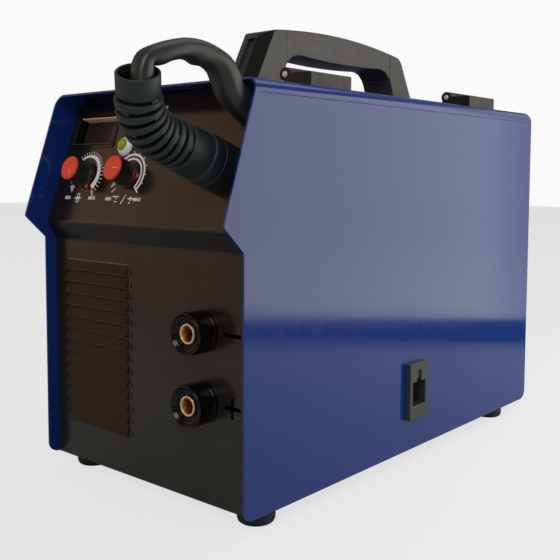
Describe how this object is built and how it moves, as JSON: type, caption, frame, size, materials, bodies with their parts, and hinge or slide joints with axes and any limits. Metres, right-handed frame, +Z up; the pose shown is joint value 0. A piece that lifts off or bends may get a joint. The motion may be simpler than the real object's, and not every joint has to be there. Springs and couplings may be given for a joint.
{
  "type": "portable mig welder",
  "caption": "Portable inverter wire-feed welder in a folded sheet case with carry handle, top-hinged side door, torch outlet sleeve, finger grip, output sockets and wire bay.",
  "frame": {"origin": "on the floor under the case, on its centre line and half way along its side panels", "axes": "+X to the right seen from the front, +Y to the back, +Z up"},
  "size_m": [0.2332, 0.5309, 0.3736],
  "materials": {
    "blue_paint": "deep royal blue powder coat, satin",
    "black_paint": "black powder coat, fine texture",
    "foot_rubber": "moulded rubber, matte",
    "steel": "zinc plated steel",
    "black_plastic": "moulded black, satin",
    "brass": "turned brass",
    "window_glass": "smoked maroon window",
    "white_plastic": "moulded white",
    "lamp_plastic": "translucent yellow green",
    "sleeve_rubber": "moulded rubber, matte",
    "grip_plastic": "moulded dark grey, matte",
    "handle_grip_plastic": "moulded grey, matte",
    "sheet_zinc": "bare galvanised sheet",
    "fan_plastic": "moulded black",
    "aluminium": "extruded aluminium",
    "board_laminate": "green laminate",
    "capacitor_can": "sleeved can",
    "ferrite": "ferrite and wound copper",
    "copper_winding": "enamelled copper winding",
    "red_plastic": "moulded red",
    "rocker_plastic": "moulded red rocker",
    "reel_plastic": "moulded black reel",
    "wire_steel": "copper plated steel wire"
  },
  "bodies": {
    "chassis": {"cover_shell": "blue_paint", "base_tray": "black_paint", "rubber_feet": "foot_rubber", "foot_screws": "steel", "front_panel": "black_paint", "socket_minus_body": "black_plastic", "socket_minus_contact": "brass", "socket_plus_body": "black_plastic", "socket_plus_contact": "brass", "potentiometers": "steel", "display_frame": "black_plastic", "display_window": "window_glass", "lamp_bezel": "white_plastic", "lamp_lens": "lamp_plastic", "torch_sleeve": "sleeve_rubber", "sleeve_nut": "black_plastic", "front_grip": "grip_plastic", "grip_seat": "black_plastic", "carry_handle_grip": "handle_grip_plastic", "carry_handle_ends": "grip_plastic", "hinge_fixed_leaves": "black_paint", "hinge_pins": "steel", "latch_keeper": "sheet_zinc", "rear_panel": "black_paint", "fan_frame": "fan_plastic", "fan_guard": "steel", "switch_housing": "black_plastic", "mains_gland": "black_plastic", "gas_inlet": "brass", "ground_stud": "steel", "partition": "sheet_zinc", "spool_hub": "black_plastic", "feeder_plate": "aluminium", "feed_motor": "steel", "wire_guide": "steel", "heatsink": "aluminium", "circuit_boards": "board_laminate", "capacitors": "capacitor_can", "transformer": "ferrite", "output_choke": "copper_winding", "case_screws": "steel"},
    "door": {"side_door": "blue_paint", "hinge_door_leaves": "black_paint", "latch_housing": "black_plastic"},
    "latch": {"latch_slide": "black_plastic"},
    "knob_left": {"knob_left_body": "black_plastic", "knob_left_trim": "red_plastic", "knob_left_spindle": "steel"},
    "knob_right": {"knob_right_body": "black_plastic", "knob_right_trim": "red_plastic", "knob_right_spindle": "steel"},
    "rocker": {"switch_rocker": "rocker_plastic"},
    "fan": {"fan_rotor": "fan_plastic"},
    "spool": {"spool_reel": "reel_plastic", "welding_wire": "wire_steel"},
    "driver": {"drive_roll": "steel"},
    "presser_arm": {"pressure_arm": "aluminium"},
    "presser": {"pressure_roll": "steel"},
    "tension": {"tension_knob": "black_plastic"}
  },
  "joints": [
    {"name": "door_hinge", "type": "hinge", "parent": "chassis", "child": "door", "pos_m": [0.076, 0, 0.322], "axis": [0, -1, 0], "range_deg": [0, 180]},
    {"name": "latch_travel", "type": "slide", "parent": "door", "child": "latch", "axis": [0, 0, -1], "range_m": [0, 0.008]},
    {"name": "knob_left_turn", "type": "hinge", "parent": "chassis", "child": "knob_left", "pos_m": [-0.076, -0.21044, 0.24884], "axis": [0, -0.9406, 0.3396], "range_deg": [-2, 298]},
    {"name": "knob_right_turn", "type": "hinge", "parent": "chassis", "child": "knob_right", "pos_m": [-0.022, -0.21044, 0.24884], "axis": [0, -0.9406, 0.3396], "range_deg": [-56, 244]},
    {"name": "rocker_tilt", "type": "hinge", "parent": "chassis", "child": "rocker", "pos_m": [0.062, 0.2075, 0.274], "axis": [1, 0, 0], "range_deg": [0, 18]},
    {"name": "fan_spin", "type": "hinge", "parent": "chassis", "child": "fan", "pos_m": [-0.046, 0.195, 0.192], "axis": [0, 1, 0], "continuous": true},
    {"name": "spool_turn", "type": "hinge", "parent": "chassis", "child": "spool", "pos_m": [0.05, 0.068, 0.168], "axis": [1, 0, 0], "continuous": true},
    {"name": "drive_roll_turn", "type": "hinge", "parent": "chassis", "child": "driver", "pos_m": [0.076, -0.1358, 0.21116], "axis": [1, 0, 0], "continuous": true},
    {"name": "pressure_arm_lift", "type": "hinge", "parent": "chassis", "child": "presser_arm", "pos_m": [0.076, -0.15405, 0.24602], "axis": [1, 0, 0], "range_deg": [0, 50]},
    {"name": "pressure_roll_turn", "type": "hinge", "parent": "presser_arm", "child": "presser", "pos_m": [0.076, -0.12677, 0.23618], "axis": [1, 0, 0], "continuous": true},
    {"name": "tension_turn", "type": "hinge", "parent": "presser_arm", "child": "tension", "pos_m": [0.07875, -0.09934, 0.23265], "axis": [0, 0.3396, 0.9406], "range_deg": [-180, 180]}
  ],
  "couplings": [
    {"joint": "pressure_roll_turn", "follows": "drive_roll_turn", "ratio": -1.3636},
    {"joint": "spool_turn", "follows": "drive_roll_turn", "ratio": 0.21429}
  ]
}
